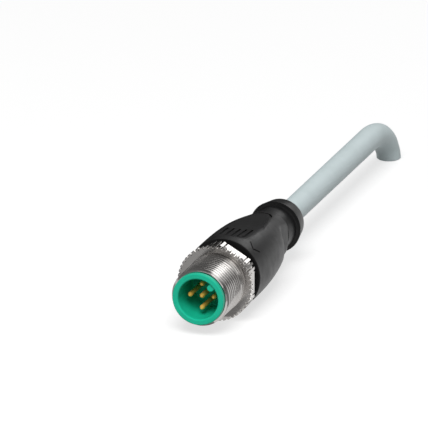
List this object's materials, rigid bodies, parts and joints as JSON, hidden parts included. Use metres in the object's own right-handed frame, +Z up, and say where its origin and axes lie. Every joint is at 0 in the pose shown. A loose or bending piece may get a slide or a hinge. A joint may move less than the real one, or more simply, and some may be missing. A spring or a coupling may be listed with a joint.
{
  "type": "m12 connector",
  "caption": "Straight circular M12 cable connector: knurled coupling screw with external thread, keyed cup with gold pins, moulded grip and a short cable with a cut end.",
  "frame": {"origin": "on the connector's axis at the front face of the knurled ring, where the coupling thread ends", "axes": "-Y along the axis towards the mating end, +Z up with the part lying on its knurled ring and the cut end of its cable"},
  "size_m": [0.0156, 0.1262, 0.0156],
  "materials": {
    "carrier_green": "satin moulded",
    "gold_plating": "polished plating",
    "nickel_plating": "satin nickel plating",
    "black_moulding": "matt moulded",
    "natural_moulding": "moulded",
    "cable_jacket": "smooth extruded",
    "copper_strand": "bright",
    "wire_brown": "extruded",
    "wire_white": "extruded",
    "wire_blue": "extruded",
    "wire_black": "extruded",
    "wire_grey": "extruded"
  },
  "bodies": {
    "connector": {"contact_carrier": "carrier_green", "pin_1": "gold_plating", "pin_2": "gold_plating", "pin_3": "gold_plating", "pin_4": "gold_plating", "pin_5": "gold_plating", "grip_body": "black_moulding", "inner_mould": "natural_moulding", "wire_1": "wire_brown", "wire_2": "wire_white", "wire_3": "wire_blue", "wire_4": "wire_black", "wire_5": "wire_grey", "conductor_1": "copper_strand", "conductor_2": "copper_strand", "conductor_3": "copper_strand", "conductor_4": "copper_strand", "conductor_5": "copper_strand", "cable": "cable_jacket"},
    "coupling": {"coupling_screw": "nickel_plating"}
  },
  "joints": [
    {"name": "coupling_spin", "type": "hinge", "parent": "connector", "child": "coupling", "pos_m": [0, 0, 0], "axis": [0, -1, 0], "continuous": true}
  ]
}
